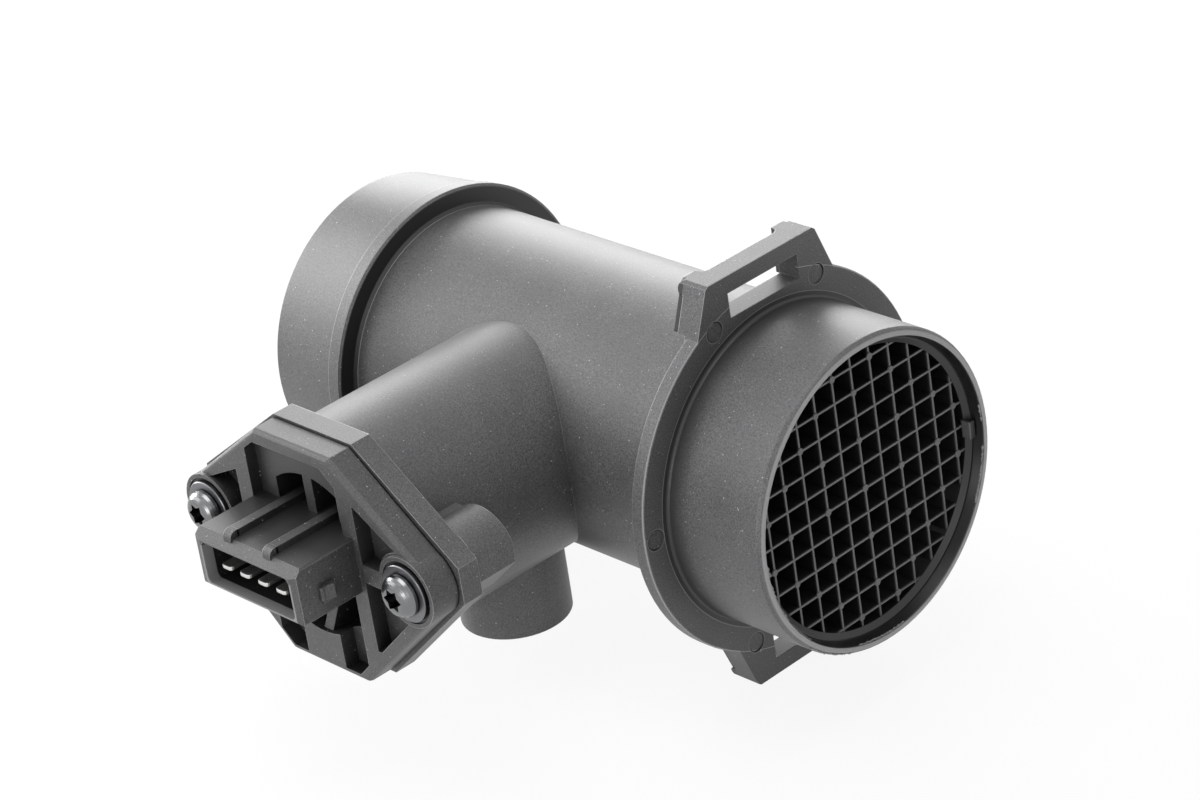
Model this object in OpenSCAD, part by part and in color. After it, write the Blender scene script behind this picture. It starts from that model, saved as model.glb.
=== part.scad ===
// Mass airflow sensor for an engine's air intake: a moulded tube with an inlet grid,
// and a side tower that holds the plug-in probe under a ribbed connector cover.
// Millimetres. +X runs along the tube towards the inlet, +Z is up, and the tower points to -Y.
// The origin is on the tube's axis, in the front face of the inlet flange.

/* [Tube] */
// Outer radius of the inlet spigot
spigot_r = 30; // [29:0.1:31]
// Length of the inlet spigot in front of the flange
spigot_len = 22.2; // [21:0.1:24]
// Outer radius of the tube between the flange and the outlet collar
tube_r = 27.9; // [27.5:0.1:28.2]
// Radius of the air duct through the tube
duct_r = 25.4; // [25:0.1:25.6]
// Distance from the flange face to the outlet end
outlet_x = 108.2; // [105:0.1:111]
// Length of the tapered outlet collar
collar_len = 21.8; // [20:0.1:23]
// Outer radius of the collar at the outlet end
collar_end_r = 29.8; // [29.5:0.1:30.2]
// Outer radius of the collar's front rim
collar_rim_r = 32.1; // [31.8:0.1:32.6]
// Radius of the socket inside the collar
socket_r = 27.6; // [27.2:0.1:27.8]

/* [Inlet flange and strap loops] */
// Outer radius of the flange
flange_r = 36.1; // [35:0.1:37]
// Thickness of the flange
flange_t = 3.2; // [3:0.1:4]
// Height of each strap loop above the tube's axis
loop_top = 40.8; // [40:0.1:42]
// Half the width of a loop at its outer bar
loop_half_w = 13.8; // [13:0.1:15]
// Half the width of a loop where it leaves the flange
loop_foot_w = 17.6; // [17:0.1:18]
// Half the length of the strap slot
slot_half_w = 8.8; // [8.5:0.1:9]
// Inner edge of the strap slot, above the tube's axis
slot_low = 32.7; // [32.4:0.1:33]
// Outer edge of the strap slot, above the tube's axis
slot_high = 37.5; // [37:0.1:37.8]
// Depth of the ears at both ends of a loop's bar
ear_depth = 6.5; // [6:0.1:7]

/* [Inlet grid] */
// Distance between neighbouring webs
web_pitch = 4.84; // [4.7:0.01:4.9]
// Thickness of a web
web_t = 0.55; // [0.5:0.05:0.7]
// Depth of the webs along the air stream
web_depth = 11; // [9:0.5:12]
// Radius of the grid's clear opening
grid_r = 26.6; // [26.4:0.1:26.8]
// Radius of the round pips on the web crossings
pip_r = 0.62; // [0.5:0.02:0.8]

/* [Tower and cover] */
// Distance from the flange face back to the tower's axis
tower_back = 49.3; // [48:0.1:50]
// Outer radius of the tower
tower_r = 22.1; // [21.9:0.1:22.4]
// Radius of the bore in the tower's head
head_bore_r = 18; // [17.9:0.05:18.1]
// Distance from the tube's axis to the back of the tower's flange
tower_len = 61.7; // [61:0.1:62.5]
// Thickness of the tower's flange
head_t = 4.4; // [4:0.1:4.8]
// Thickness of the connector cover
cover_t = 5.4; // [5.2:0.1:5.8]
// Depth of the pockets in the cover's face
pocket_depth = 3.25; // [3:0.05:3.5]
// Distance between the two cover screws
screw_pitch = 54.1; // [54:0.1:54.3]
// Height of the screws and terminals above the tube's axis
screw_z = 1.9; // [1.7:0.1:2.1]

/* [Plug] */
// Half the outer width of the plug shroud
plug_half_w = 14; // [13.8:0.1:14.2]
// Bottom of the plug shroud, below the tube's axis
plug_low = 2.8; // [2.6:0.1:3]
// Top of the plug shroud, above the tube's axis
plug_high = 8.4; // [8.2:0.1:8.6]
// Distance from the tube's axis to the plug's mouth
plug_reach = 85.7; // [85:0.1:87]
// Distance between neighbouring terminal blades
pin_pitch = 5; // [4.9:0.05:5.1]
// Width of a terminal blade
blade_w = 2.8; // [2.7:0.1:2.9]
// Thickness of a terminal blade
blade_t = 0.8; // [0.7:0.05:0.9]

/* [Stub] */
// Outer radius of the stub under the tower
stub_r = 10.7; // [10.4:0.1:11]
// Lower end of the stub, below the tube's axis
stub_low = 33.9; // [33:0.1:35]
// Distance from the tube's axis to the stub's axis
stub_y = 27.6; // [27:0.1:28]

/* [Hidden] */
$fn = 96;
eps = 0.02;

// Places along the tower, measured towards -Y
head_y = tower_len + head_t;              // front of the tower's flange, where the cover sits
seam_gap = 0.25;                          // seam left between flange and cover
cover_back = head_y + seam_gap;
cover_face = cover_back + cover_t;
pocket_floor = cover_face - pocket_depth;
window_floor = cover_face - 2.45;
cup_floor = 61;                           // bottom of the round well in the cover
cup_end = 57;                             // inner end of the cover's cup
chamber_floor = 42;                       // floor of the tower's electronics chamber
screw_x = screw_pitch / 2;

loop_foot_z = 31;                         // foot of a strap loop, inside the flange's rim

// Round well and cup of the cover
well_r = 15.4;
cup_r = 17.4;
seal_wire = 1;                            // radius of the cover seal's section
seal_y = 59.4;

// Seat of the inlet grid in the spigot
seat_r = 27.9;
seat_back = 6;
grid_front = 20.1;
web_front = 19.25;
grid_turn = 0.55;                         // the grid is pressed in with this small turn

// Screw, washers and boss
screw_r = 1.95;
screw_hole_r = 2;
cover_hole_r = 2.3;
boss_r = 8;
boss_back = 53.2;
ring_r = 6.9;
ring_face = cover_face + 0.5;
counter_r = 6.1;
counter_face = cover_face + 0.05;
washer_r = 5.5;
washer_t = 1.1;
head_r = 4.05;
head_h = 2.6;
insert_r = 2.9;
insert_l = 7;

// Plug socket
mouth_half_w = 12.1;
mouth_low = 1.95;
mouth_high = 6.4;
mouth_lip = 2.4;
socket_floor = 73.5;
blade_tip = 84.3;

// Probe
probe_r = 8.8;
probe_hole_r = 9;
probe_half_x = 7.6;
probe_low = 4.2;
probe_high = 3.2;
probe_end = -9;                           // past the tube's axis, towards +Y
ring_seal_y = 36;

// Grid crossings that carry a pip, counted in web pitches from the centre
function has_pip(a, b) =
    let (i = abs(a), j = abs(b), even = (i + j) % 2 == 0)
    even && (max(i, j) <= 4 ? (i % 2 == 0 ? i * i + j * j <= 20 : i == 3 && j == 3)
                            : min(i, j) == 1);

// Turns a shape drawn in the XY plane so that it faces -Y, with its depth from y0 out to y1
module along_tower(y0, y1) {
    translate([0, -y0, 0]) rotate([90, 0, 0]) linear_extrude(y1 - y0) children();
}

// Moves to the tower's axis
module at_tower() {
    translate([-tower_back, 0, 0]) children();
}

// Round bar along -Y from y0 out to y1, at (x, z) from the tower's axis
module tower_rod(r, y0, y1, x = 0, z = 0) {
    translate([x, -y0, z]) rotate([90, 0, 0]) cylinder(r = r, h = y1 - y0);
}

// Revolves an outline of [distance along X, radius] points about the tube's axis
module turned_on_x(points) {
    rotate([0, 90, 0]) rotate_extrude() polygon([for (p = points) [p[1], p[0]]]);
}

module housing() {
    color([0.22, 0.22, 0.23]) difference() {
        union() {
            tube_outside();
            at_tower() tower_outside();
            strap_loop();
            mirror([0, 0, 1]) strap_loop();
        }
        tube_inside();
        at_tower() tower_inside();
        for (side = [-1, 1]) scale([1, 1, side]) strap_slot();
        ejector_marks();
    }
}

module tube_outside() {
    rim_x = -outlet_x + collar_len;
    turned_on_x([
        [-outlet_x, 0], [-outlet_x, collar_end_r - 0.6], [-outlet_x + 0.6, collar_end_r],
        [rim_x - 3.6, collar_rim_r - 0.5], [rim_x - 3.4, collar_rim_r - 0.25],
        [rim_x - 0.4, collar_rim_r], [rim_x, collar_rim_r - 0.4],
        [rim_x, tube_r + 0.6], [rim_x + 0.6, tube_r],
        [-flange_t - 0.5, tube_r], [-flange_t, tube_r + 0.5],
        [-flange_t, flange_r - 0.5], [-flange_t + 0.5, flange_r],
        [-0.3, flange_r], [0, flange_r - 0.3],
        [0, spigot_r + 0.5], [0.15, spigot_r + 0.15], [0.5, spigot_r],
        [spigot_len - 0.9, spigot_r], [spigot_len - 0.3, spigot_r - 0.3], [spigot_len, spigot_r - 0.8],
        [spigot_len, 0]
    ]);
}

module tube_inside() {
    socket_end = -outlet_x + collar_len - 3.5;
    turned_on_x([
        [-outlet_x - 1, 0], [-outlet_x - 1, socket_r + 1], [-outlet_x, socket_r + 0.8],
        [-outlet_x + 0.8, socket_r], [socket_end, socket_r], [socket_end, duct_r],
        [seat_back, duct_r], [seat_back, seat_r], [grid_front, seat_r],
        [spigot_len - 0.2, spigot_r - 1.5], [spigot_len + 1, spigot_r - 1.2], [spigot_len + 1, 0]
    ]);
}

// One loop for the clip strap, standing on the flange's rim
module strap_loop() {
    bar_depth = 4.6;
    ear_y = 9.6;
    hollow_r = 1.5;
    difference() {
        union() {
            loop_plate(ear_depth - 1.5, 0);
            loop_plate(ear_depth, 0.6);
            loop_cap();
        }
        // Room behind the bar, between the ears, with hollow corners
        translate([-bar_depth - hollow_r, 0, loop_foot_z - 1]) linear_extrude(loop_top) {
            translate([-5, -ear_y]) square([5, 2 * ear_y]);
            translate([-5, hollow_r - ear_y]) square([5 + hollow_r, 2 * (ear_y - hollow_r)]);
            for (side = [-1, 1]) translate([0, side * (ear_y - hollow_r)]) circle(r = hollow_r, $fn = 32);
        }
        // Nothing reaches behind the flange at the loop's foot
        translate([-20, -20, loop_foot_z - 1]) cube([20 - flange_t, 40, 2]);
    }
}

// Plate of the loop's outline, depth thick behind the flange's face, its sides drawn in by inset
module loop_plate(depth, inset) {
    cut = 0.5;
    top_w = loop_half_w - inset;
    foot_w = loop_foot_w - inset;
    translate([-depth, 0, 0]) rotate([90, 0, 90]) linear_extrude(depth)
        polygon([[-foot_w, loop_foot_z], [foot_w, loop_foot_z], [top_w + cut / 3, loop_top - cut],
                 [top_w - cut, loop_top], [cut - top_w, loop_top], [-top_w - cut / 3, loop_top - cut]]);
}

// Rounded cap over the back of the loop, as wide as the plate in front
module loop_cap() {
    cap_t = 1.3;
    cap_r = 1.2;
    intersection() {
        loop_plate(ear_depth, 0);
        translate([0, 20, 0]) rotate([90, 0, 0]) linear_extrude(40) {
            translate([-ear_depth, loop_top - cap_t]) square([ear_depth, cap_t - cap_r]);
            translate([cap_r - ear_depth, loop_top - cap_t]) square([ear_depth - cap_r, cap_t]);
            translate([cap_r - ear_depth, loop_top - cap_r]) circle(r = cap_r, $fn = 32);
        }
    }
}

module strap_slot() {
    translate([-ear_depth - 1, -slot_half_w, slot_low])
        cube([ear_depth + 2, 2 * slot_half_w, slot_high - slot_low]);
}

module ejector_marks() {
    mark_depth = 0.18;
    mark_r = 1.85;
    for (p = [[-13.05, 31.8], [13.05, 31.8], [-13.05, -31.8], [13.05, -31.8], [-33.4, 0], [33.4, 0]])
        translate([-mark_depth, p[0], p[1]]) rotate([0, 90, 0])
            cylinder(r = mark_r, h = 1, $fn = 36);
}

// Outline of the tower's flange, seen from the cover side
module head_outline() {
    polygon([[-10.6, 23.4], [10.6, 23.4], [34.7, 6], [34.7, -1.2],
             [11.4, -23.3], [-11.4, -23.3], [-34.7, -1.2], [-34.7, 6]]);
}

// Outline of a screw boss, flat where it would pass the flange, with its web to the tower
module boss_outline() {
    end_x = 34.5;
    web_top = 8.4;
    intersection() {
        translate([screw_x, screw_z]) circle(r = boss_r);
        polygon([[15, 20], [end_x, 20], [end_x, 1], [end_x - 12, -10.4], [15, -10.4]]);
    }
    translate([15, -0.1]) square([screw_x - 15, web_top + 0.1]);
}

module tower_outside() {
    tower_rod(tower_r, 0, tower_len + eps);
    along_tower(tower_len, head_y) head_outline();
    for (side = [-1, 1]) along_tower(boss_back, tower_len + eps) scale([side, 1]) boss_outline();
    translate([0, -stub_y, -stub_low]) cylinder(r = stub_r, h = stub_low);
}

module tower_inside() {
    tower_rod(head_bore_r, chamber_floor, head_y + 1);
    tower_rod(probe_hole_r, 0, chamber_floor + 1);
    for (side = [-1, 1]) {
        tower_rod(screw_hole_r + 0.2, boss_back + 1.5, head_y, side * screw_x, screw_z);
        tower_rod(insert_r, head_y - insert_l, head_y + 1, side * screw_x, screw_z);
    }
    // Core of the stub, open below
    translate([0, -stub_y, -stub_low - 1]) cylinder(r = stub_r - 1.9, h = 10.4);
}

module flow_grid() {
    key_h = 0.8;
    color([0.2, 0.2, 0.21]) rotate([grid_turn, 0, 0]) {
        turned_on_x([[seat_back, grid_r], [seat_back, seat_r - 0.05], [grid_front, seat_r - 0.05],
                     [grid_front, seat_r - 0.35], [web_front, grid_r]]);
        // Key that stands on the ring, towards +Y
        translate([web_front - 0.5, grid_r + 0.2, -2.6]) cube([2.2, key_h, 3.6]);
        intersection() {
            turned_on_x([[web_front - web_depth, 0], [web_front - web_depth, seat_r - 0.4],
                         [web_front, seat_r - 0.4], [web_front, 0]]);
            for (i = [-5:5]) translate([web_front - web_depth, 0, 0]) {
                translate([0, i * web_pitch - web_t / 2, -seat_r]) cube([web_depth, web_t, 2 * seat_r]);
                translate([0, -seat_r, i * web_pitch - web_t / 2]) cube([web_depth, 2 * seat_r, web_t]);
            }
        }
        for (i = [-5:5], j = [-5:5]) if (has_pip(i, j))
            translate([web_front - 1, i * web_pitch, j * web_pitch]) rotate([0, 90, 0])
                cylinder(r = pip_r, h = 1.15, $fn = 16);
    }
}

// Outline of the cover, drawn in by d
module cover_outline(d = 0) {
    hull() {
        polygon([[-10.3 + d * 0.55, 22.9 - d], [10.3 - d * 0.55, 22.9 - d], [0, -22]]);
        for (side = [-1, 1]) translate([side * 9.9, -21.6]) circle(r = 1.3 - d, $fn = 24);
        for (side = [-1, 1]) translate([side * screw_x, screw_z]) circle(r = 6.75 - d, $fn = 64);
    }
}

// Plate of the cover with its rounded front edge
module cover_plate() {
    hull() {
        along_tower(cover_back, cover_face - 1) cover_outline(0);
        along_tower(cover_back, cover_face - 0.4) cover_outline(0.2);
        along_tower(cover_back, cover_face - 0.1) cover_outline(0.55);
        along_tower(cover_back, cover_face) cover_outline(1);
    }
}

// Pocket outline beside a screw boss: at side (-1 or 1), up (1) or down (-1).
// The ribs stand a little off the middle, so the pockets on the left are narrower.
module side_pocket(side, up) {
    rib_x = side > 0 ? 15.1 : 17.3;
    around_r = side > 0 ? 7.4 : 6.9;
    difference() {
        scale([side, 1]) polygon(up > 0
            ? [[rib_x, 3.4], [rib_x, 30.2 - rib_x], [rib_x + 1, 29.7 - rib_x], [26.4, 8.5], [26.4, 3.4]]
            : [[rib_x, -0.3], [rib_x, rib_x - 29.6], [rib_x + 1, rib_x - 29.6], [25.4, -5.5], [25.4, -0.3]]);
        translate([side * screw_x, screw_z]) circle(r = around_r, $fn = 64);
    }
}

module connector_cover() {
    color([0.2, 0.2, 0.21]) at_tower() difference() {
        union() {
            difference() {
                union() {
                    cover_plate();
                    tower_rod(cup_r, cup_end, cover_back + eps);
                    for (side = [-1, 1])
                        tower_rod(ring_r, cover_back, ring_face, side * screw_x, screw_z);
                }
                cover_recesses();
            }
            plug_outside();
            well_rib();
        }
        plug_socket();
        for (side = [-1, 1]) {
            tower_rod(cover_hole_r, cover_back - 1, ring_face + 1, side * screw_x, screw_z);
            tower_rod(counter_r, counter_face, ring_face + 1, side * screw_x, screw_z);
        }
        for (i = [-1.5:1.5])
            translate([i * pin_pitch - blade_w / 2, -socket_floor - 1, screw_z - blade_t / 2])
                cube([blade_w, socket_floor, blade_t]);
        // Groove for the seal ring
        translate([0, -seal_y, 0]) rotate([90, 0, 0]) rotate_extrude()
            translate([head_bore_r - 2 * seal_wire + 1.3, 0]) square([2.6, 2.3], center = true);
    }
}

module cover_recesses() {
    // Window above the plug
    along_tower(window_floor, cover_face + 1)
        polygon([[-13.5, 0], [-13.5, 18.3], [-10.8, 20.3], [7.9, 20.5], [11.15, 17.4], [11.15, 0]]);
    // Pockets below the plug
    along_tower(pocket_floor, cover_face + 1) {
        polygon([[-12.9, 0], [-12.9, -19], [-9.8, -21.8], [-5.9, -21.8], [-5.9, 0]]);
        polygon([[4.5, 0], [4.5, -21.7], [8.6, -21.7], [11.5, -18.8], [11.5, 0]]);
        for (side = [-1, 1], up = [-1, 1]) side_pocket(side, up);
    }
    // Round well behind the plug
    along_tower(cup_floor, cover_face + 1) intersection() {
        circle(r = well_r);
        translate([-9, -30]) square([20.3, 60]);
    }
}

// Web that crosses the well behind the plug, with a sloping foot
module well_rib() {
    rib_w = 2.4;
    translate([-rib_w / 2 + 0.2, 0, 0]) rotate([90, 0, 90]) linear_extrude(rib_w)
        polygon([[-cup_floor + 0.5, -well_r - 0.2], [-cup_floor + 0.5, well_r + 0.2],
                 [-window_floor, well_r + 0.2], [-window_floor, 0], [-67.6, -9],
                 [-70.9, -well_r - 0.2]]);
}

// Rectangle between low and high with round corners
module soft_rectangle(half_w, low, high, r) {
    translate([r - half_w, low]) square([2 * (half_w - r), high - low]);
    translate([-half_w, low + r]) square([2 * half_w, high - low - 2 * r]);
    for (x = [-half_w + r, half_w - r], z = [low + r, high - r])
        translate([x, z]) circle(r = r, $fn = 24);
}

module plug_outside() {
    lip = 0.3;
    bevel = 1.7;
    low_bevel = 0.7;
    cut = 0.4;
    start = cup_floor - 0.5;
    // Box with its long edges cut, then bevelled towards the mouth on all four sides
    intersection() {
        along_tower(start, plug_reach) polygon([
            [-plug_half_w, cut - plug_low], [cut - plug_half_w, -plug_low],
            [plug_half_w - cut, -plug_low], [plug_half_w, cut - plug_low],
            [plug_half_w, plug_high - cut], [plug_half_w - cut, plug_high],
            [cut - plug_half_w, plug_high], [-plug_half_w, plug_high - cut]]);
        translate([0, 0, -20]) linear_extrude(40) polygon([
            [-plug_half_w - 1, 0], [-plug_half_w - 1, -plug_reach + bevel - 1],
            [-mouth_half_w - lip, -plug_reach], [mouth_half_w + lip, -plug_reach],
            [plug_half_w + 1, -plug_reach + bevel - 1], [plug_half_w + 1, 0]]);
        translate([-20, 0, 0]) rotate([90, 0, 90]) linear_extrude(40) polygon([
            [0, -plug_low - 1], [-plug_reach + low_bevel + 1, -plug_low - 1],
            [-plug_reach, -mouth_low - lip], [-plug_reach, mouth_high + lip],
            [-plug_reach + bevel + 1, plug_high + 1], [0, plug_high + 1]]);
    }
    rib_w = 2.1;
    rib_h = 1.4;
    for (side = [-1, 1]) {
        // Guide ribs on top
        translate([side * 5.45 - rib_w / 2, -plug_reach + 2.8, plug_high - 0.5])
            cube([rib_w, plug_reach - 2.8 - start, rib_h + 0.5]);
        // Latch nubs on both ends
        translate([side * (plug_half_w + 0.25), -79.35, 1.65]) cube([1.3, 3.1, 3.1], center = true);
    }
}

module plug_socket() {
    along_tower(plug_reach - mouth_lip, plug_reach + 1)
        soft_rectangle(mouth_half_w, -mouth_low, mouth_high, 1.1);
    along_tower(socket_floor, plug_reach - mouth_lip + eps)
        soft_rectangle(mouth_half_w + 0.4, -mouth_low - 0.3, mouth_high + 0.4, 1.1);
}

// One flat terminal: its tapered tip, the blade, and the tail in the electronics chamber
module terminal(i) {
    tip_w = 1.5;
    tip_l = 1.1;
    color([0.78, 0.78, 0.76]) at_tower()
        translate([(i - 2.5) * pin_pitch, 0, screw_z - blade_t / 2]) linear_extrude(blade_t)
            polygon([[-blade_w / 2, -56], [blade_w / 2, -56],
                     [blade_w / 2, -blade_tip + tip_l], [tip_w / 2, -blade_tip],
                     [-tip_w / 2, -blade_tip], [-blade_w / 2, -blade_tip + tip_l]]);
}

// Pan head screws with a six-pointed socket
module cover_screws() {
    base = counter_face + washer_t;
    color([0.62, 0.62, 0.63]) at_tower() for (side = [-1, 1]) translate([side * screw_x, 0, screw_z])
        difference() {
            rotate([90, 0, 0]) rotate_extrude() polygon([
                [0, boss_back + 3], [screw_r - 0.5, boss_back + 3], [screw_r, boss_back + 3.6],
                [screw_r, base], [head_r - 0.15, base], [head_r, base + 0.2], [head_r, base + 0.8],
                [head_r - 0.15, base + 1.4], [head_r - 0.5, base + 1.9], [head_r - 0.95, base + 2.3],
                [head_r - 1.4, base + 2.5], [head_r - 1.8, base + head_h], [0, base + head_h]]);
            star_socket(base + head_h);
        }
}

module star_socket(top) {
    depth = 1.6;
    tip_r = 2.3;
    waist_r = 1.5;
    along_tower(top - depth, top + 1)
        polygon([for (i = [0:11]) let (r = i % 2 == 0 ? tip_r : waist_r) [r * cos(i * 30), r * sin(i * 30)]]);
}

// Rings on both screw axes, from y0 out to y1, with the outer edge cut by bevel
module screw_rings(r, hole, y0, y1, bevel) {
    at_tower() for (side = [-1, 1]) translate([side * screw_x, 0, screw_z]) rotate([90, 0, 0])
        rotate_extrude() polygon([[hole, y0], [r - bevel, y0], [r, y0 + bevel], [r, y1 - bevel],
                                  [r - bevel, y1], [hole, y1]]);
}

module cover_washers() {
    color([0.7, 0.7, 0.7]) screw_rings(washer_r, 2.15, counter_face, counter_face + washer_t, 0.15);
}

// Threaded brass bushes moulded into the bosses
module thread_inserts() {
    color([0.8, 0.65, 0.3]) screw_rings(insert_r, screw_hole_r, head_y - insert_l, head_y, 0.3);
}

module cover_seal() {
    color([0.08, 0.08, 0.09]) at_tower() translate([0, -seal_y, 0]) rotate([90, 0, 0]) rotate_extrude()
        translate([head_bore_r - seal_wire, 0]) circle(r = seal_wire, $fn = 32);
}

// Moulded tray for the electronics, with the probe that reaches into the air stream
module sensor_body() {
    tray_r = head_bore_r - 0.15;
    color([0.3, 0.3, 0.31]) at_tower() difference() {
        union() {
            tower_rod(tray_r, chamber_floor, cup_end);
            tower_rod(probe_r, duct_r - 1, chamber_floor + eps);
            translate([-probe_half_x, -duct_r, -probe_low])
                cube([2 * probe_half_x, duct_r - probe_end, probe_low + probe_high]);
        }
        tower_rod(tray_r - 1.4, chamber_floor + 3, cup_end + 1);
        // Measuring channel along the air stream
        translate([-probe_half_x - 1, -7, -2.4]) cube([2 * probe_half_x + 2, 12, 10]);
        // Slot that holds the film element
        translate([-3.15, -14, 0]) cube([6.3, 8, 0.55]);
        // Pocket of the air temperature bead
        translate([probe_half_x - 3, -18, -1.5]) cube([4, 5, 10]);
        translate([0, -ring_seal_y, 0]) rotate([90, 0, 0]) rotate_extrude()
            translate([probe_hole_r - 0.8, 0]) square([2.2, 2.3], center = true);
    }
}

module channel_cover() {
    color([0.26, 0.26, 0.27]) at_tower() difference() {
        translate([-probe_half_x, -9, probe_high]) cube([2 * probe_half_x, 18, 1]);
        translate([-1, 2.5, probe_high - 1]) cube([2, 1.2, 4]);
    }
}

module probe_seal() {
    wire = 0.95;
    color([0.08, 0.08, 0.09]) at_tower() translate([0, -ring_seal_y, 0]) rotate([90, 0, 0]) rotate_extrude()
        translate([probe_hole_r - wire, 0]) circle(r = wire, $fn = 32);
}

// Aluminium plate that carries the board and spreads its heat
module carrier_plate() {
    color([0.75, 0.76, 0.78]) at_tower() along_tower(45, 46.4)
        intersection() {
            circle(r = 15.8);
            square([27, 24], center = true);
        }
}

module hybrid_board() {
    color([0.86, 0.84, 0.78]) at_tower() along_tower(46.4, 47.2) square([23, 19], center = true);
}

module driver_chip() {
    color([0.12, 0.12, 0.12]) at_tower() along_tower(47.2, 48.7)
        translate([-4, -5.2]) square([7, 6], center = true);
}

// Four contact strips between the terminals and the board
module contact_leads() {
    color([0.85, 0.66, 0.3]) at_tower() for (i = [-1.5:1.5])
        translate([i * pin_pitch - 0.6, -56, screw_z - 0.2]) cube([1.2, 56 - 47.2, 0.4]);
}

module hot_film() {
    color([0.35, 0.5, 0.55]) at_tower() translate([-3.1, -14, 0]) cube([6.2, 16.5, 0.5]);
}

module air_temperature_bead() {
    color([0.15, 0.3, 0.2]) at_tower() translate([probe_half_x - 1.4, -13, 0]) rotate([90, 0, 0])
        rotate_extrude($fn = 32) polygon([[0, 0], [0.35, 0], [0.35, 1.3], [0.8, 1.7], [0.9, 2.5],
                                          [0.8, 3.3], [0.35, 3.7], [0.35, 5], [0, 5]]);
}

housing();
flow_grid();
connector_cover();
terminal(1);  // terminal_1
terminal(2);  // terminal_2
terminal(3);  // terminal_3
terminal(4);  // terminal_4
cover_screws();
cover_washers();
thread_inserts();
cover_seal();
sensor_body();
channel_cover();
probe_seal();
carrier_plate();
hybrid_board();
driver_chip();
contact_leads();
hot_film();
air_temperature_bead();
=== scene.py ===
import random
from math import cos, pi, radians, sin, sqrt

import bmesh
import bpy
from mathutils import Matrix, Vector


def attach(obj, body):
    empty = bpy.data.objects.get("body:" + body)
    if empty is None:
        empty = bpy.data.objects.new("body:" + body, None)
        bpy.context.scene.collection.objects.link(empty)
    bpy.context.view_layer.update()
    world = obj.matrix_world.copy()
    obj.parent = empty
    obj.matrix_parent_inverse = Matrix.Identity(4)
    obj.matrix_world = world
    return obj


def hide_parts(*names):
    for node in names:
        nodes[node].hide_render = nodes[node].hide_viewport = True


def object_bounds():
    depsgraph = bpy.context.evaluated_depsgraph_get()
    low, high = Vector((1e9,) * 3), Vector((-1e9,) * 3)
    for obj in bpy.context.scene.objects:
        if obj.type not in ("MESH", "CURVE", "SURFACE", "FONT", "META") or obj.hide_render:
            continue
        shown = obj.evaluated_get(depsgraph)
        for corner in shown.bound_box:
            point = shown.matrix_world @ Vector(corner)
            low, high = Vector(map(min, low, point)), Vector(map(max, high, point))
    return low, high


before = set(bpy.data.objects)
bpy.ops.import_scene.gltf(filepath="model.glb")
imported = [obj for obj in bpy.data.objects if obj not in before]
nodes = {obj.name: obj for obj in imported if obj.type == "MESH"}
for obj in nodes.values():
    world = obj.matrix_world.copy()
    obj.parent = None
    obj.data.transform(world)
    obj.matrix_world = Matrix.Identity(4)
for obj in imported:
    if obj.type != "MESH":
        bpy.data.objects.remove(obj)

cad_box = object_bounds()


# The camera stands above the inlet end, on the plug's side, and looks down along the tube.
# Its angles, distance and lens were worked out from the circles of the tube in the photograph.
camera_azimuth = radians(49.73)
camera_elevation = radians(27.56)
camera_roll = radians(-8.73)
camera_place = Vector((0.42915, -0.40476, 0.32516))

camera_data = bpy.data.cameras.new("camera")
camera_data.sensor_width = 36
camera_data.lens = 112.325
camera_data.clip_start = 0.01
camera = bpy.data.objects.new("camera", camera_data)
camera.matrix_world = (
    Matrix.Translation(camera_place)
    @ Matrix.Rotation(camera_azimuth, 4, "Z")
    @ Matrix.Rotation(pi / 2 - camera_elevation, 4, "X")
    @ Matrix.Rotation(camera_roll, 4, "Z")
)
bpy.context.scene.collection.objects.link(camera)
bpy.context.scene.camera = camera


# The housing is one moulding: the tube with its spigot, flange, strap loops and collar, and
# the tower. It is black polyamide filled with glass fibre, from a mould that was spark eroded.
def linear(hex_colour):
    """An sRGB hex colour as a linear RGBA tuple."""
    parts = [int(hex_colour[i:i + 2], 16) / 255 for i in (1, 3, 5)]
    return tuple(c / 12.92 if c <= 0.04045 else ((c + 0.055) / 1.055) ** 2.4 for c in parts) + (1,)


def add_node(tree, kind, inputs=None, **settings):
    """A new shader node with its settings, its input values and its links."""
    node = tree.nodes.new(kind)
    for name, value in settings.items():
        setattr(node, name, value)
    for socket, value in (inputs or {}).items():
        if isinstance(value, bpy.types.NodeSocket):
            tree.links.new(value, node.inputs[socket])
        else:
            node.inputs[socket].default_value = value
    return node


def new_material(name):
    """An empty material, its tree and its Object coordinates."""
    material = bpy.data.materials.new(name)
    material.use_nodes = True
    tree = material.node_tree
    tree.nodes.clear()
    place = add_node(tree, "ShaderNodeTexCoord").outputs["Object"]
    return material, tree, place


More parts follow.
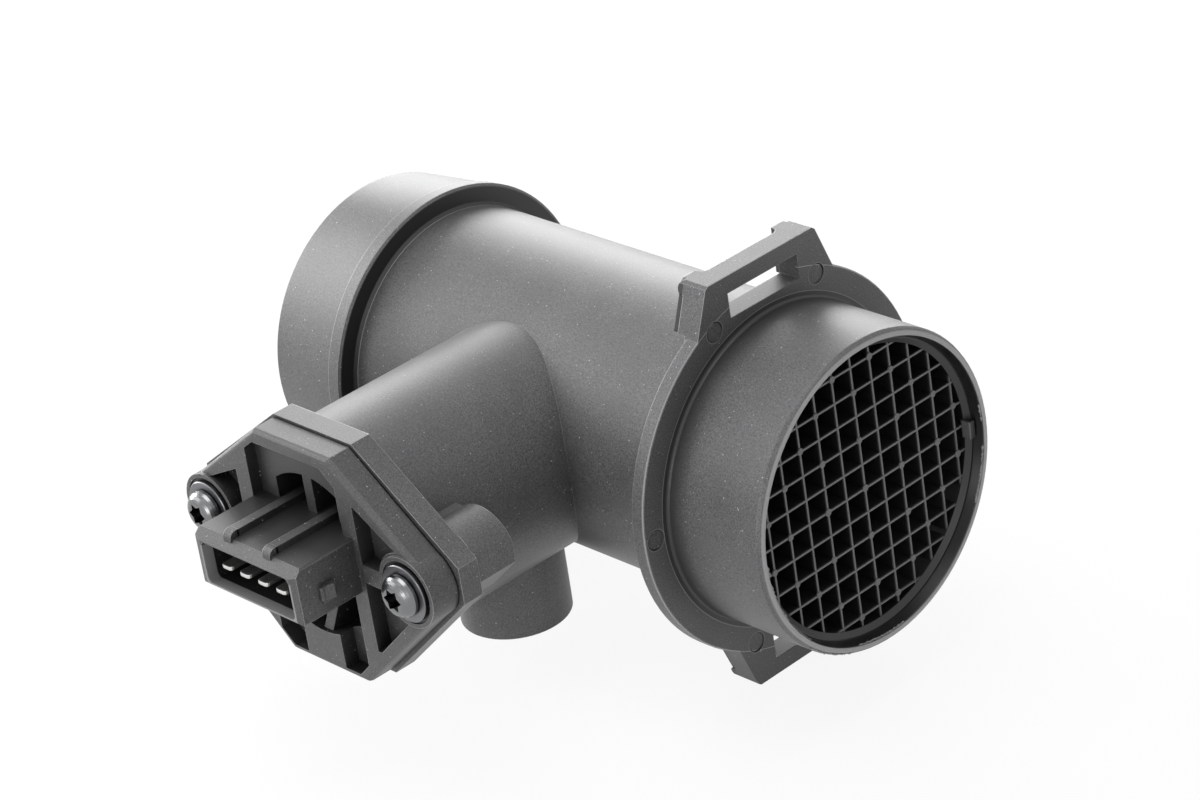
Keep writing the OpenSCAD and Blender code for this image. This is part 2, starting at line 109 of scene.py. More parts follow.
def moulded_plastic(name, colour, pale, wear_and_highlight_colour, grain_mm, roughness, grain_depth_mm, edge_mm,
                    hollow_mm=7.0, hollow_shade=0.2):
    """Spark eroded polyamide with fibre specks, worn edges, and painted glints, highlights and
    shade.
    """
    material, tree, place = new_material(name)
    # The grain's glints are painted into the colour as pale specks, in clouds where the fibres lie
    #     # denser
    grain = add_node(tree, "ShaderNodeTexNoise",
                     {"Vector": place, "Scale": 1000 / grain_mm, "Detail": 2.0, "Roughness": 0.7})
    glint_and_fibre_specks = add_node(tree, "ShaderNodeMapRange",
                      {"Value": grain.outputs["Fac"], "From Min": 0.34, "From Max": 0.66})
    cloud_mm = 9.0
    clouds = add_node(tree, "ShaderNodeTexNoise",
                      {"Vector": place, "Scale": 1000 / cloud_mm, "Detail": 4.0})
    cloudy = add_node(tree, "ShaderNodeMapRange",
                      {"Value": clouds.outputs["Fac"], "To Min": 0.3, "To Max": 1.0})
    shade = add_node(tree, "ShaderNodeMath", {0: glint_and_fibre_specks.outputs[0], 1: cloudy.outputs[0]},
                     operation="MULTIPLY")
    tint = add_node(tree, "ShaderNodeMix",
                    {0: shade.outputs[0], 6: linear(colour), 7: linear(pale)}, data_type="RGBA")
    # Hollows and creases are painted near black as shade
    open_sky = add_node(tree, "ShaderNodeAmbientOcclusion", {"Distance": hollow_mm / 1000},
                        samples=8)
    painted_hollow_shade = add_node(tree, "ShaderNodeMapRange",
                     {"Value": open_sky.outputs["AO"], "From Min": 0.15, "From Max": 0.82,
                      "To Min": hollow_shade, "To Max": 1.0})
    hollow_shaded = add_node(tree, "ShaderNodeMix", {0: 1.0, 6: tint.outputs[2], 7: painted_hollow_shade.outputs[0]},
                      data_type="RGBA", blend_type="MULTIPLY")
    # The rounded normal leaves the face's own normal only near an edge, and open edges are painted
    #     # paler, as wear and as a painted highlight
    soft_edge = add_node(tree, "ShaderNodeBevel", {"Radius": edge_mm / 1000}, samples=8)
    own_face = add_node(tree, "ShaderNodeNewGeometry")
    flatness = add_node(tree, "ShaderNodeVectorMath",
                        {0: soft_edge.outputs[0], 1: own_face.outputs["True Normal"]},
                        operation="DOT_PRODUCT")
    edge = add_node(tree, "ShaderNodeMapRange",
                    {"Value": flatness.outputs["Value"], "From Min": 0.99, "From Max": 0.86})
    standing = add_node(tree, "ShaderNodeMapRange",
                        {"Value": open_sky.outputs["AO"], "From Min": 0.72, "From Max": 0.95})
    wear_and_highlight_share = add_node(tree, "ShaderNodeMath", {0: edge.outputs[0], 1: standing.outputs[0]},
                   operation="MULTIPLY")
    with_wear_and_highlight = add_node(tree, "ShaderNodeMix",
                    {0: wear_and_highlight_share.outputs[0], 6: hollow_shaded.outputs[2], 7: linear(wear_and_highlight_colour)}, data_type="RGBA")
    # Pale dust lies about, drawn near 0.2 mm across, which is coarser than the real grains
    dust_mm = 0.45
    dust = add_node(tree, "ShaderNodeTexNoise",
                    {"Vector": place, "Scale": 1000 / dust_mm, "Detail": 1.0})
    dust_grains = add_node(tree, "ShaderNodeMapRange",
                           {"Value": dust.outputs["Fac"], "From Min": 0.75, "From Max": 0.78})
    dusty = add_node(tree, "ShaderNodeMix",
                     {0: dust_grains.outputs[0], 6: with_wear_and_highlight.outputs[2], 7: linear("#b4b4b5")},
                     data_type="RGBA")
    dull = add_node(tree, "ShaderNodeMapRange",
                    {"Value": grain.outputs["Fac"],
                     "To Min": roughness - 0.1, "To Max": roughness + 0.1})
    bump = add_node(tree, "ShaderNodeBump",
                    {"Height": grain.outputs["Fac"], "Distance": grain_depth_mm / 1000,
                     "Strength": 1.0, "Normal": soft_edge.outputs[0]})
    surface = add_node(tree, "ShaderNodeBsdfPrincipled",
                       {"Base Color": dusty.outputs[2], "Roughness": dull.outputs[0],
                        "IOR": 1.53, "Normal": bump.outputs[0]})
    add_node(tree, "ShaderNodeOutputMaterial", {"Surface": surface.outputs[0]})
    return material


def dress(node, material):
    """Gives a CAD node its material."""
    for slot in nodes[node].material_slots:
        slot.material = material


def recolour(material, place_mask, colour, roughness=None):
    """Gives the places where the mask is 1 another colour, and a roughness if one is named."""
    tree = material.node_tree
    surface = tree.nodes["Principled BSDF"]
    before = surface.inputs["Base Color"].links[0].from_socket
    tint = add_node(tree, "ShaderNodeMix", {0: place_mask, 6: before, 7: linear(colour)},
                    data_type="RGBA")
    tree.links.new(tint.outputs[2], surface.inputs["Base Color"])
    if roughness is not None:
        before = surface.inputs["Roughness"].links[0].from_socket
        smooth = add_node(tree, "ShaderNodeMix", {0: place_mask, 2: before, 3: roughness})
        tree.links.new(smooth.outputs[0], surface.inputs["Roughness"])


def tube_place(tree):
    """The place along the tube's axis and the distance from it."""
    place = add_node(tree, "ShaderNodeSeparateXYZ",
                     {0: add_node(tree, "ShaderNodeTexCoord").outputs["Object"]})
    across = add_node(tree, "ShaderNodeCombineXYZ",
                      {"Y": place.outputs["Y"], "Z": place.outputs["Z"]})
    distance = add_node(tree, "ShaderNodeVectorMath", {0: across.outputs[0]}, operation="LENGTH")
    return place.outputs["X"], distance.outputs["Value"]


def zone(tree, *ramps):
    """A mask that is 1 where every (value, zero_at, one_at) has passed its one_at."""
    mask = None
    for value, zero_at, one_at in ramps:
        step = add_node(tree, "ShaderNodeMapRange",
                        {"Value": value, "From Min": zero_at, "From Max": one_at})
        if mask is not None:
            step = add_node(tree, "ShaderNodeMath", {0: mask, 1: step.outputs[0]},
                            operation="MULTIPLY")
        mask = step.outputs[0]
    return mask


def between(value, low, high, soft=0.00003):
    """The two ramps that keep a zone between low and high."""
    return (value, low - soft, low), (value, high + soft, high)


# Near black with a fine glint and pale edges. The grain is drawn at 0.3 mm, coarser than real
housing_plastic = moulded_plastic("glass_filled_polyamide_housing", "#3e3e3f", "#737374",
                                  "#b8b8b9", grain_mm=0.3, roughness=0.47, grain_depth_mm=0.014,
                                  edge_mm=0.25, hollow_mm=13.0)
tree = housing_plastic.node_tree
along, distance = tube_place(tree)

# The grid's seat was polished in the mould, so it is shiny, and it is painted near black as shade;
# # the rim is painted paler, as wear from hoses and as a painted highlight
fade = 0.0001
seat_back = 0.006
rim_start = 0.02195
rim_inner = 0.0284
recolour(housing_plastic, zone(tree, (along, seat_back, seat_back + fade),
                               (distance, rim_inner + 2 * fade, rim_inner)), "#161617", 0.3)
recolour(housing_plastic, zone(tree, (along, rim_start, rim_start + 2 * fade),
                               (distance, rim_inner, rim_inner + 2 * fade)), "#9c9c9d")

# The creases at the roots of the collar and the spigot are painted dark as shade
tube_r = 0.0279
collar_face = -0.0864
collar_crease_w = 0.00055
collar_crease_r = tube_r + 0.0034
spigot_r = 0.03
spigot_crease_r = spigot_r + 0.0012
spigot_shade_reach = 0.005
recolour(housing_plastic,
         zone(tree, *between(along, collar_face - 0.0003, collar_face + collar_crease_w),
              (distance, collar_crease_r + 3 * fade, collar_crease_r)), "#131314")
recolour(housing_plastic,
         zone(tree, (along, spigot_shade_reach, 0.0), (along, -5 * fade, -4 * fade),
              *between(distance, spigot_r - 2 * fade, spigot_crease_r)), "#2a2a2b")

# Fine pale rings are painted along the mould's parting lines, as the lines and as painted
# # highlights on these edges: each lies on the first value from a start, and runs from where the
# # second value begins
line_w = 0.00012
collar_step = -0.0899
flange_r = 0.0361
for line_place, line_value, line_start, line_begin, line_colour in (
    (along, distance, collar_face + 0.00058, tube_r, "#7c7c7d"),
    (along, distance, collar_step, tube_r + 0.003, "#b0b0b1"),
    (distance, along, spigot_crease_r + fade, -2 * fade, "#777778"),
    (distance, along, flange_r - 2 * fade, -4 * fade, "#9a9a9b"),
):
    recolour(housing_plastic, zone(tree, *between(line_place, line_start, line_start + line_w),
                                   (line_value, line_begin - 3 * fade, line_begin - 2 * fade)),
             line_colour)

# Six ejector pins left round marks in the flange's face, each drawn as a dark ring with a pale
# # ring just outside
mark_r = 0.00185
marks = ((0.01305, 0.0318), (0.0334, 0))
place = add_node(tree, "ShaderNodeSeparateXYZ",
                 {0: add_node(tree, "ShaderNodeTexCoord").outputs["Object"]})
sideways, height = (
    add_node(tree, "ShaderNodeMath", {0: place.outputs[axis]}, operation="ABSOLUTE").outputs[0]
    for axis in ("Y", "Z"))
folded = add_node(tree, "ShaderNodeCombineXYZ", {"Y": sideways, "Z": height}).outputs[0]
on_flange = between(along, -0.0004, 0.0002)
for mark_y, mark_z in marks:
    from_mark = add_node(tree, "ShaderNodeVectorMath", {0: folded, 1: (0, mark_y, mark_z)},
                         operation="DISTANCE").outputs["Value"]
    for outline_in, outline_out, outline_colour in (
        (mark_r - 0.00012, mark_r + 0.0001, "#161617"),
        (mark_r + 0.00016, mark_r + 0.00024, "#7d7d7e"),
    ):
        recolour(housing_plastic, zone(tree, *between(from_mark, outline_in, outline_out),
                                       *on_flange), outline_colour)

# The ears of the strap loops have a step in their outer sides, which lies in shadow, painted here
# # as a dark strip
ear_back, ear_step = -0.009, -0.0053
ear_low, ear_high = 0.0305, 0.0402
ear_side = 0.0132
recolour(housing_plastic,
         zone(tree, *between(along, ear_back, ear_step), *between(height, ear_low, ear_high),
              (sideways, ear_side - fade, ear_side)), "#161617")
dress("housing", housing_plastic)


# Torn flash of the same polyamide was left where the two mould halves closed on the spigot's
# rim. It hangs on the inner edge in seven thin ragged strips and crumbs.
def bmesh_piece(name, shape, material):
    """An object at the origin from a bmesh, riding on the body."""
    mesh = bpy.data.meshes.new(name)
    shape.to_mesh(mesh)
    shape.free()
    mesh.materials.append(material)
    piece = bpy.data.objects.new(name, mesh)
    bpy.context.scene.collection.objects.link(piece)
    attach(piece, "root")
    return piece


def plain_surface(name, colour, roughness, grain_mm, grain_depth_mm, ior):
    """An even non-metal surface with a fine grain."""
    material, tree, place = new_material(name)
    grain = add_node(tree, "ShaderNodeTexNoise",
                     {"Vector": place, "Scale": 1000 / grain_mm, "Detail": 3.0})
    paler = tuple(min(1, c * 1.25) for c in linear(colour)[:3]) + (1,)
    tint = add_node(tree, "ShaderNodeMix",
                    {0: grain.outputs["Fac"], 6: linear(colour), 7: paler}, data_type="RGBA")
    bump = add_node(tree, "ShaderNodeBump",
                    {"Height": grain.outputs["Fac"], "Distance": grain_depth_mm / 1000,
                     "Strength": 0.6})
    surface = add_node(tree, "ShaderNodeBsdfPrincipled",
                       {"Base Color": tint.outputs[2], "Roughness": roughness, "IOR": ior,
                        "Normal": bump.outputs[0]})
    add_node(tree, "ShaderNodeOutputMaterial", {"Surface": surface.outputs[0]})
    return material


# Start and end in degrees from +Y, then the place along the axis, the radius and the width in mm
strips = (
    (-171, -152, 21.85, 28.32, 0.42), (-149, -136, 21.9, 28.3, 0.25),
    (-134, -112, 21.75, 29.62, 0.4), (-108, -84, 21.88, 28.33, 0.3),
    (-30, -8, 21.85, 28.33, 0.22), (2, 9, 21.9, 28.3, 0.3), (-179, -174, 21.95, 28.3, 0.7),
)
steps_per_degree = 1.6
strip_height = 0.0003
strip_front = 0.02218
strip_r = 0.0285
chance = random.Random(3)
shape = bmesh.new()
for start_deg, end_deg, along_mm, out_mm, width_mm in strips:
    start, turn = radians(start_deg), radians(end_deg - start_deg)
    width = width_mm / 1000
    low_x, low_r = along_mm / 1000, out_mm / 1000 - width / 3
    before = set(shape.verts)
    corners = [shape.verts.new((x, r * cos(start), r * sin(start)))
               for x, r in ((low_x, low_r), (low_x + strip_height, low_r + width / 2),
                            (low_x, low_r + width))]
    section = shape.faces.new(corners)
    bmesh.ops.spin(shape, geom=[section, *section.edges, *corners], cent=(0, 0, 0),
                   axis=(1, 0, 0), angle=turn,
                   steps=int(abs(end_deg - start_deg) * steps_per_degree))
    for vertex in [v for v in shape.verts if v not in before]:
        vertex.co.x = min(vertex.co.x + chance.uniform(-0.5, 0.35) * width, strip_front)
        vertex.co.yz = vertex.co.yz * (1 + chance.uniform(-0.35, 0.35) * width / strip_r)
bmesh.ops.recalc_face_normals(shape, faces=shape.faces)
# Paler than the skin, because the torn plastic is dull and shows its fibres
flash_plastic = plain_surface("torn_polyamide_flash", "#858586", roughness=0.6, grain_mm=0.15,
                              grain_depth_mm=0.03, ior=1.53)
rim_flash = bmesh_piece("rim_flash", shape, flash_plastic)


# The inlet grid is a separate moulding of polyamide, pressed into the spigot, where a key sets
# its turn: a ring with thin drafted webs, and a round pip where each ejector pin pushed.
ring_inner = 0.0266
ring_outer = 0.02785
ring_front = 0.0201
ring_lip = 0.0003
web_front = 0.01925
web_depth = 0.011
web_pitch = 0.00484
webs_a_side = 5
web_front_t = 0.0004
web_back_t = 0.00056
web_reach = 0.0275
upright_back = 0.00004
pip_r = 0.00072
pip_height = 0.00012
pip_off = 0.00012
key_low = (0.0187, 0.0262, -0.0026)
key_high = (0.0209, 0.0277, 0.001)
grid_turn = radians(0.55)
chance = random.Random(7)


def block(shape, low, high):
    """A box between two corners, and its vertices."""
    corners = bmesh.ops.create_cube(shape, size=1)["verts"]
    bmesh.ops.scale(shape, verts=corners, vec=[b - a for a, b in zip(low, high)])
    bmesh.ops.translate(shape, verts=corners, vec=[(a + b) / 2 for a, b in zip(low, high)])
    return corners


def edges_of(corners):
    """The edges that meet at these corners, each once."""
    return list(dict.fromkeys(edge for corner in corners for edge in corner.link_edges))


shape = bmesh.new()
outline = [shape.verts.new((x, r, 0)) for x, r in (
    (seat_back, ring_inner), (seat_back, ring_outer), (ring_front, ring_outer),
    (ring_front, ring_outer - ring_lip), (web_front, ring_inner))]
rails = [shape.edges.new((outline[i - 1], outline[i])) for i in range(len(outline))]
bmesh.ops.spin(shape, geom=outline + rails, cent=(0, 0, 0), axis=(1, 0, 0), angle=2 * pi,
               steps=128, use_merge=True)
for number in range(-webs_a_side, webs_a_side + 1):
    off_centre = number * web_pitch
    half = sqrt(web_reach ** 2 - off_centre ** 2)
    for upright in (False, True):
        front_x = web_front - (upright_back if upright else 0)
        corners = block(shape, (front_x - web_depth, -1, -half), (front_x, 1, half))
        for corner in corners:
            at_front = corner.co.x > web_front - web_depth / 2
            side = 1 if corner.co.y > 0 else -1
            corner.co.y = side * (web_front_t if at_front else web_back_t) / 2
        if not upright:
            bmesh.ops.rotate(shape, verts=corners, cent=(0, 0, 0),
                             matrix=Matrix.Rotation(pi / 2, 3, "X"))
        bmesh.ops.translate(shape, verts=corners,
                            vec=(0, off_centre, 0) if upright else (0, 0, off_centre))
for across in range(-webs_a_side, webs_a_side + 1):
    for up in range(-webs_a_side, webs_a_side + 1):
        far, near = max(abs(across), abs(up)), min(abs(across), abs(up))
        in_middle = across % 2 == 0 and up % 2 == 0 and far ** 2 + near ** 2 <= 20
        has_pip = near == 1 if far == webs_a_side else (in_middle or far == near == 3)
        if has_pip:
            pip = bmesh.ops.create_cone(
                shape, cap_ends=True, cap_tris=False, segments=9, radius1=pip_r,
                radius2=pip_r * chance.uniform(0.8, 1.05), depth=2 * pip_height)["verts"]
            bmesh.ops.rotate(shape, verts=pip, cent=(0, 0, 0),
                             matrix=Matrix.Rotation(pi / 2, 3, "Y"))
            bmesh.ops.translate(shape, verts=pip, vec=(
                web_front, across * web_pitch + chance.uniform(-1, 1) * pip_off,
                up * web_pitch + chance.uniform(-1, 1) * pip_off))
key = block(shape, key_low, key_high)
bmesh.ops.bevel(shape, geom=edges_of(key), offset=0.0002, segments=2, profile=0.5,
                affect="EDGES", material=-1)
bmesh.ops.rotate(shape, verts=shape.verts, cent=(0, 0, 0),
                 matrix=Matrix.Rotation(grid_turn, 3, "X"))
bmesh.ops.recalc_face_normals(shape, faces=shape.faces)

# Polished, and painted near black as shade along the draw of the mould, so the cells look deep,
# # and a dull grey where light falls on the webs' front edges. Its 0.25 mm grain is coarser than
# # real, so that it shows
grid_plastic, tree, place = new_material("polished_polyamide_grid")
grain_mm = 0.25
grain = add_node(tree, "ShaderNodeTexNoise",
                 {"Vector": place, "Scale": 1000 / grain_mm, "Detail": 2.0})
along, distance = tube_place(tree)
lit_front_share = zone(tree, (along, web_front - 0.0011, web_front - 0.0001),
                   (along, web_front - 0.0005, web_front - 0.00001),
                   (distance, ring_inner, ring_inner - 0.0003),
                   (grain.outputs["Fac"], -0.2, 0.6))
tint = add_node(tree, "ShaderNodeMix",
                {0: lit_front_share, 6: linear("#121213"), 7: linear("#646465")}, data_type="RGBA")
bump = add_node(tree, "ShaderNodeBump",
                {"Height": grain.outputs["Fac"], "Distance": 0.00001, "Strength": 0.6})
surface = add_node(tree, "ShaderNodeBsdfPrincipled",
                   {"Base Color": tint.outputs[2], "Roughness": 0.42, "IOR": 1.53,
                    "Normal": bump.outputs[0]})
add_node(tree, "ShaderNodeOutputMaterial", {"Surface": surface.outputs[0]})
dress("flow_grid", grid_plastic)
inlet_grid = bmesh_piece("inlet_grid", shape, grid_plastic)
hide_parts("flow_grid")


# The connector cover closes the tower and carries the plug's shroud. It is one moulding of
# glass filled polyamide, cored out behind with deep pockets, and two screws hold it.
tower_x = -0.0493
mouth_y = -0.0857
lead_in_depth = 0.0023
lead_in_half = 0.0125
lead_in_low, lead_in_high = -0.00225, 0.0055
shroud_half = 0.0139
shroud_top = 0.0082
# A little blacker than the housing, with the same fine glint, drawn coarser than real
cover_plastic = moulded_plastic("glass_filled_polyamide_cover", "#343435", "#626263", "#a4a4a5",
                                grain_mm=0.3, roughness=0.47, grain_depth_mm=0.014,
                                edge_mm=0.22, hollow_mm=22.0, hollow_shade=0.08)
tree = cover_plastic.node_tree
place = add_node(tree, "ShaderNodeSeparateXYZ",
                 {0: add_node(tree, "ShaderNodeTexCoord").outputs["Object"]})
# The mouth's lead-in is painted pale as light falling on it
recolour(cover_plastic,
         zone(tree, (place.outputs["Y"], mouth_y + lead_in_depth, mouth_y + lead_in_depth - fade),
              *between(place.outputs["Z"], lead_in_low, lead_in_high),
              *between(place.outputs["X"], tower_x - lead_in_half, tower_x + lead_in_half)),
         "#808081")
# Painted shade lies on the shroud's top between the ribs, darker towards the well
painted_shade_start, painted_shade_full = -0.085, -0.0785
painted_shade_half = 0.0136
recolour(cover_plastic,
         zone(tree, (place.outputs["Y"], painted_shade_start, painted_shade_full),
              *between(place.outputs["Z"], shroud_top, shroud_top + 4 * fade),
              *between(place.outputs["X"], tower_x - painted_shade_half, tower_x + painted_shade_half,
                       soft=0.0004)), "#1c1c1d")
dress("connector_cover", cover_plastic)


# Two guide ribs on the shroud's top keep the plug the right way up. They are moulded on, and
# their noses run out over the shroud's bevel with a rounded slope.
rib_off = 0.00545
rib_w = 0.0021
rib_nose_y, rib_back_y = -0.0846, -0.0825
rib_low, rib_high = 0.0068, 0.00981
nose_r = 0.0014
shape = bmesh.new()
for side in (-1, 1):
    middle_x = tower_x + side * rib_off
    rib_end = block(shape, (middle_x - rib_w / 2, rib_nose_y, rib_low),
                    (middle_x + rib_w / 2, rib_back_y, rib_high))
    nose = [edge for edge in edges_of(rib_end)
            if all(v.co.y < rib_nose_y + fade and v.co.z > rib_high - fade for v in edge.verts)]
    bmesh.ops.bevel(shape, geom=nose, offset=nose_r, segments=4, profile=0.5, affect="EDGES",
                    material=-1)
bmesh.ops.recalc_face_normals(shape, faces=shape.faces)
rib_ends = bmesh_piece("guide_rib_ends", shape, cover_plastic)


# The latch nubs are moulded on the shroud's two ends, where the plug's clip snaps over them.
# Each rises like a wedge from the mouth towards the tower.
nub_half_w = 0.0013
nub_front_y, nub_back_y = -0.0811, -0.0783
nub_low, nub_high = 0.0004, 0.0031
nub_rise_front, nub_rise_back = 0.0008, 0.0015
shape = bmesh.new()
for side in (-1, 1):
    nub = block(shape, (-nub_half_w, nub_front_y, nub_low), (nub_half_w, nub_back_y, nub_high))
    outer = [corner for corner in nub if corner.co.x > 0]
    for corner in outer:
        at_front = corner.co.y < (nub_front_y + nub_back_y) / 2
        corner.co.x = nub_rise_front if at_front else nub_rise_back
    bmesh.ops.bevel(shape, geom=edges_of(outer), offset=0.0002, segments=2, profile=0.5,
                    affect="EDGES", material=-1)
    # Until it is moved out to the shroud's end, this nub alone lies near x = 0
    this_nub = [v for v in shape.verts if abs(v.co.x) < 0.003]
    if side < 0:
        bmesh.ops.scale(shape, verts=this_nub, vec=(-1, 1, 1))
    bmesh.ops.translate(shape, verts=this_nub, vec=(tower_x + side * shroud_half, 0, 0))
bmesh.ops.recalc_face_normals(shape, faces=shape.faces)
latch_nubs = bmesh_piece("latch_nubs", shape, cover_plastic)


# The four terminals are flat blades, stamped from brass strip and tinned, with coined rims and
# rounded tips. They are moulded into the cover and reach back into the tower.
def plain_metal(name, colour, roughness, scratch_mm, scratch_depth_mm, stretch=(1, 1, 1),
                hollow_shade=0.5):
    """Metal with fine marks that may run one way: stretch is above 1 across the marks."""
    material, tree, place = new_material(name)
    turned = add_node(tree, "ShaderNodeMapping", {"Vector": place, "Scale": stretch})
    marks = add_node(tree, "ShaderNodeTexNoise",
                     {"Vector": turned.outputs[0], "Scale": 1000 / scratch_mm, "Detail": 4.0})
    patch_mm = 1.6
    patches = add_node(tree, "ShaderNodeTexNoise",
                       {"Vector": place, "Scale": 1000 / patch_mm, "Detail": 2.0})
    dull = add_node(tree, "ShaderNodeMapRange",
                    {"Value": patches.outputs["Fac"],
                     "To Min": roughness * 0.7, "To Max": roughness * 1.4})
    bump = add_node(tree, "ShaderNodeBump",
                    {"Height": marks.outputs["Fac"], "Distance": scratch_depth_mm / 1000,
                     "Strength": 0.6})
    # Hollows such as the screws' star sockets are painted dark as shade
    open_sky = add_node(tree, "ShaderNodeAmbientOcclusion", {"Distance": 0.0015}, samples=12)
    painted_hollow_shade = add_node(tree, "ShaderNodeMapRange",
                     {"Value": open_sky.outputs["AO"], "From Min": 0.25, "From Max": 0.8,
                      "To Min": hollow_shade})
    tint = add_node(tree, "ShaderNodeMix", {0: 1.0, 6: linear(colour), 7: painted_hollow_shade.outputs[0]},
                    data_type="RGBA", blend_type="MULTIPLY")
    surface = add_node(tree, "ShaderNodeBsdfPrincipled",
                       {"Base Color": tint.outputs[2], "Metallic": 1.0,
                        "Roughness": dull.outputs[0], "Normal": bump.outputs[0]})
    add_node(tree, "ShaderNodeOutputMaterial", {"Surface": surface.outputs[0]})
    return material


blade_pitch = 0.005
blade_z = 0.0019
blade_w = 0.0028
blade_t = 0.0008
blade_tip = 0.0846
blade_tail = 0.056
tip_r = 0.0007
rim_r = 0.00016
# Bright silver grey with a soft sheen, from fine rolling marks along the blades, which are
# drawn coarser than real
tinned_brass = plain_metal("tinned_brass", "#d4d3d0", roughness=0.36, scratch_mm=0.15,
                           scratch_depth_mm=0.006, stretch=(4, 1, 4))
for number in range(1, 5):
    dress(f"terminal_{number}", tinned_brass)
    shape = bmesh.new()
    middle_x = tower_x + (number - 2.5) * blade_pitch
    block(shape, (middle_x - blade_w / 2, -blade_tip, blade_z - blade_t / 2),
          (middle_x + blade_w / 2, -blade_tail, blade_z + blade_t / 2))
    tip_corners = [edge for edge in shape.edges
                   if all(v.co.y < -blade_tip + fade for v in edge.verts)
                   and abs(edge.verts[0].co.z - edge.verts[1].co.z) > blade_t / 2]
    bmesh.ops.bevel(shape, geom=tip_corners, offset=tip_r, segments=3, profile=0.5,
                    affect="EDGES", material=-1)
    rims = [edge for edge in shape.edges if edge.calc_face_angle(0) > radians(60)]
    bmesh.ops.bevel(shape, geom=rims, offset=rim_r, segments=2, profile=0.5, affect="EDGES",
                    material=-1)
    bmesh.ops.recalc_face_normals(shape, faces=shape.faces)
    blade = bmesh_piece(f"terminal_blade_{number}", shape, tinned_brass)
    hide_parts(f"terminal_{number}")


# Two pan head screws with a star socket hold the cover, over flat washers. They are cold headed
# and stamped from steel, and zinc plated.
# A bluish grey mirror with small handling marks, and painted shade that makes the sockets black.
# # Marks coarser than real
zinc_plated_steel = plain_metal("zinc_plated_steel", "#7d7e7f", roughness=0.24, scratch_mm=0.35,
                                scratch_depth_mm=0.014, hollow_shade=0.06)
dress("cover_screws", zinc_plated_steel)
# The washers are duller and a little more worn
zinc_plated_washer = plain_metal("zinc_plated_washer", "#77787a", roughness=0.3, scratch_mm=0.3,
                                 scratch_depth_mm=0.012, hollow_shade=0.35)
dress("cover_washers", zinc_plated_washer)


# Two threaded bushes are turned from brass bar and set in the tower's bosses, where they take
# the screws. They are warm yellow, with fine turning marks that are drawn coarser than real.
turned_brass = plain_metal("turned_brass", "#c9a663", roughness=0.3, scratch_mm=0.12,
                           scratch_depth_mm=0.004)
dress("thread_inserts", turned_brass)


# Two moulded rings of nitrile rubber seal the cover in the tower and the probe in its hole.
# They are black and matt, with a fine bloom that is drawn at 0.2 mm, coarser than real.
nitrile_rubber = plain_surface("nitrile_rubber", "#1c1c1d", roughness=0.6, grain_mm=0.2,
                               grain_depth_mm=0.01, ior=1.52)
dress("cover_seal", nitrile_rubber)
dress("probe_seal", nitrile_rubber)


# The probe reaches from the tower through a hole into the air stream, and its channel is closed
# by a glued lid. Both are moulded in polyamide from a smoother mould, so they look blacker.
probe_plastic = moulded_plastic("smooth_polyamide_probe", "#262627", "#343435", "#4c4c4d",
                                grain_mm=0.3, roughness=0.4, grain_depth_mm=0.008,
                                edge_mm=0.12)
dress("sensor_body", probe_plastic)
dress("channel_cover", probe_plastic)


# The electronics sit in the tower: a printed ceramic board with its chip, glued to an aluminium
# plate that draws off the heat, and four strips of bronze that lead to the terminals.
# Pale silver with fine milling lines across
milled_aluminium = plain_metal("milled_aluminium", "#c6c8cb", roughness=0.35, scratch_mm=0.1,
                               scratch_depth_mm=0.006, stretch=(1, 1, 6))
dress("carrier_plate", milled_aluminium)
# Off-white and matt, like unglazed china
alumina_ceramic = plain_surface("alumina_ceramic", "#d9d5c8", roughness=0.55, grain_mm=0.1,
                                grain_depth_mm=0.004, ior=1.76)
dress("hybrid_board", alumina_ceramic)
# Satin black
moulded_epoxy = plain_surface("moulded_epoxy", "#242425", roughness=0.5, grain_mm=0.08,
                              grain_depth_mm=0.004, ior=1.55)
dress("driver_chip", moulded_epoxy)
# Reddish gold
phosphor_bronze = plain_metal("phosphor_bronze", "#c79a62", roughness=0.3, scratch_mm=0.1,
                              scratch_depth_mm=0.003)
dress("contact_leads", phosphor_bronze)


# The hot film is printed on a thin ceramic strip and glazed, and a bead of epoxy on its wires
# measures the air's temperature. Both stand in the probe's channel.
# Glossy blue grey
glazed_ceramic = plain_surface("glazed_ceramic", "#8ea3a6", roughness=0.3, grain_mm=0.1,
                               grain_depth_mm=0.002, ior=1.6)
dress("hot_film", glazed_ceramic)
# Dark green with a dipped gloss
dipped_epoxy = plain_surface("dipped_epoxy", "#22402e", roughness=0.25, grain_mm=0.3,
                             grain_depth_mm=0.004, ior=1.55)
dress("air_temperature_bead", dipped_epoxy)


# The part lies on a white painted table in a white room. The table looks white to the camera
# and in metal, and only a faint soft shadow stays on it below the part.
floor_drop = 0.0002
floor_size = 3.0
table_seen = 0.9


def seen_or_mirrored(tree):
    """1 for what the camera sees, directly or in metal, and 0 for light that strikes the part."""
    rays = add_node(tree, "ShaderNodeLightPath")
    seen = add_node(tree, "ShaderNodeMath",
                    {0: rays.outputs["Is Camera Ray"], 1: rays.outputs["Is Glossy Ray"]},
                    operation="MAXIMUM")
    return add_node(tree, "ShaderNodeMath",
                    {0: seen.outputs[0], 1: rays.outputs["Is Transmission Ray"]},
                    operation="MAXIMUM").outputs[0]


white_table, tree = new_material("white_table")[:2]
table_paint = add_node(tree, "ShaderNodeBsdfDiffuse", {"Color": linear("#f6f6f6")})
table_glow = add_node(tree, "ShaderNodeEmission", {"Color": (1, 1, 1, 1), "Strength": 1.0})
glow_share = add_node(tree, "ShaderNodeMath", {0: seen_or_mirrored(tree), 1: table_seen},
                      operation="MULTIPLY")
table_mix = add_node(tree, "ShaderNodeMixShader",
                     {0: glow_share.outputs[0], 1: table_paint.outputs[0],
                      2: table_glow.outputs[0]})
add_node(tree, "ShaderNodeOutputMaterial", {"Surface": table_mix.outputs[0]})

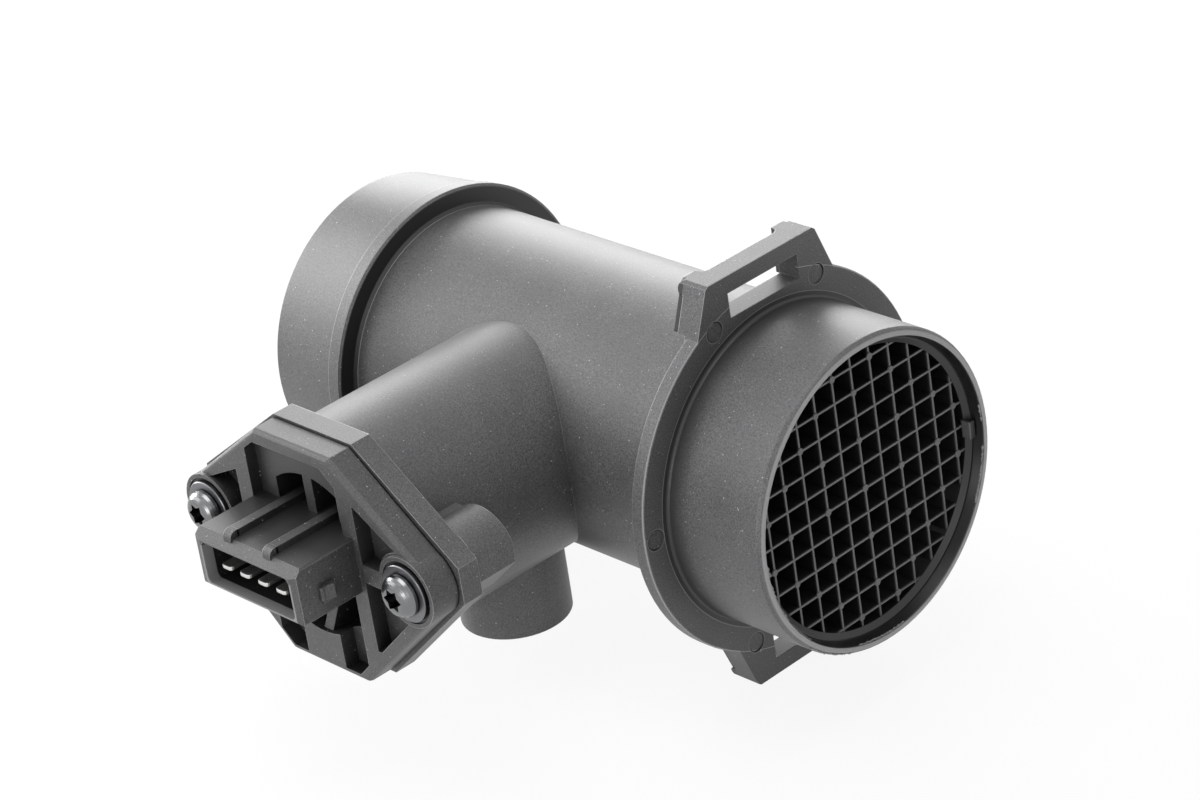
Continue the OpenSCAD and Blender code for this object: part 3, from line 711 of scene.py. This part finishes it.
floor_mesh = bpy.data.meshes.new("floor")
shape = bmesh.new()
bmesh.ops.create_grid(shape, x_segments=1, y_segments=1, size=floor_size / 2)
bmesh.ops.translate(shape, verts=shape.verts, vec=(0, 0, cad_box[0][2] - floor_drop))
shape.to_mesh(floor_mesh)
shape.free()
floor_mesh.materials.append(white_table)
floor = bpy.data.objects.new("floor", floor_mesh)
bpy.context.scene.collection.objects.link(floor)


# Large soft boxes stand behind, to the left and overhead, and weaker ones fill from the front.
# All are turned to the middle of the tube. Each has its place, its size and its power in watts.
tube_middle = (-0.045, -0.02, 0)
for lamp_name, lamp_place, lamp_size, watts in (
    ("back_lamp", (-0.75, 0.65, 0.29), 0.6, 7.0),
    ("far_left_lamp", (-0.95, -0.1, 0.25), 0.5, 7.8),
    ("left_lamp", (-0.65, -0.6, 0.35), 0.5, 1.5),
    ("overhead_lamp", (-0.1, -0.1, 0.95), 0.7, 5.2),
    ("front_lamp", (0.8, -0.5, 0.4), 0.6, 1.0),
    ("plug_side_lamp", (0.1, -0.95, 0.05), 0.5, 3.5),
):
    lamp_data = bpy.data.lights.new(lamp_name, "AREA")
    lamp_data.shape = "SQUARE"
    lamp_data.size = lamp_size
    lamp_data.energy = watts
    lamp = bpy.data.objects.new(lamp_name, lamp_data)
    lamp.location = lamp_place
    towards_tube = Vector(tube_middle) - Vector(lamp_place)
    lamp.rotation_euler = towards_tube.to_track_quat("-Z", "Y").to_euler()
    bpy.context.scene.collection.objects.link(lamp)

room_light = 0.25
world = bpy.data.worlds.new("white_room")
bpy.context.scene.world = world
world.use_nodes = True
world.node_tree.nodes.clear()
room_strength = add_node(world.node_tree, "ShaderNodeMapRange",
                         {"Value": seen_or_mirrored(world.node_tree),
                          "To Min": room_light, "To Max": 1.0})
room = add_node(world.node_tree, "ShaderNodeBackground",
                {"Color": (1, 1, 1, 1), "Strength": room_strength.outputs[0]})
add_node(world.node_tree, "ShaderNodeOutputWorld", {"Surface": room.outputs[0]})

bpy.context.scene.view_settings.view_transform = "Standard"
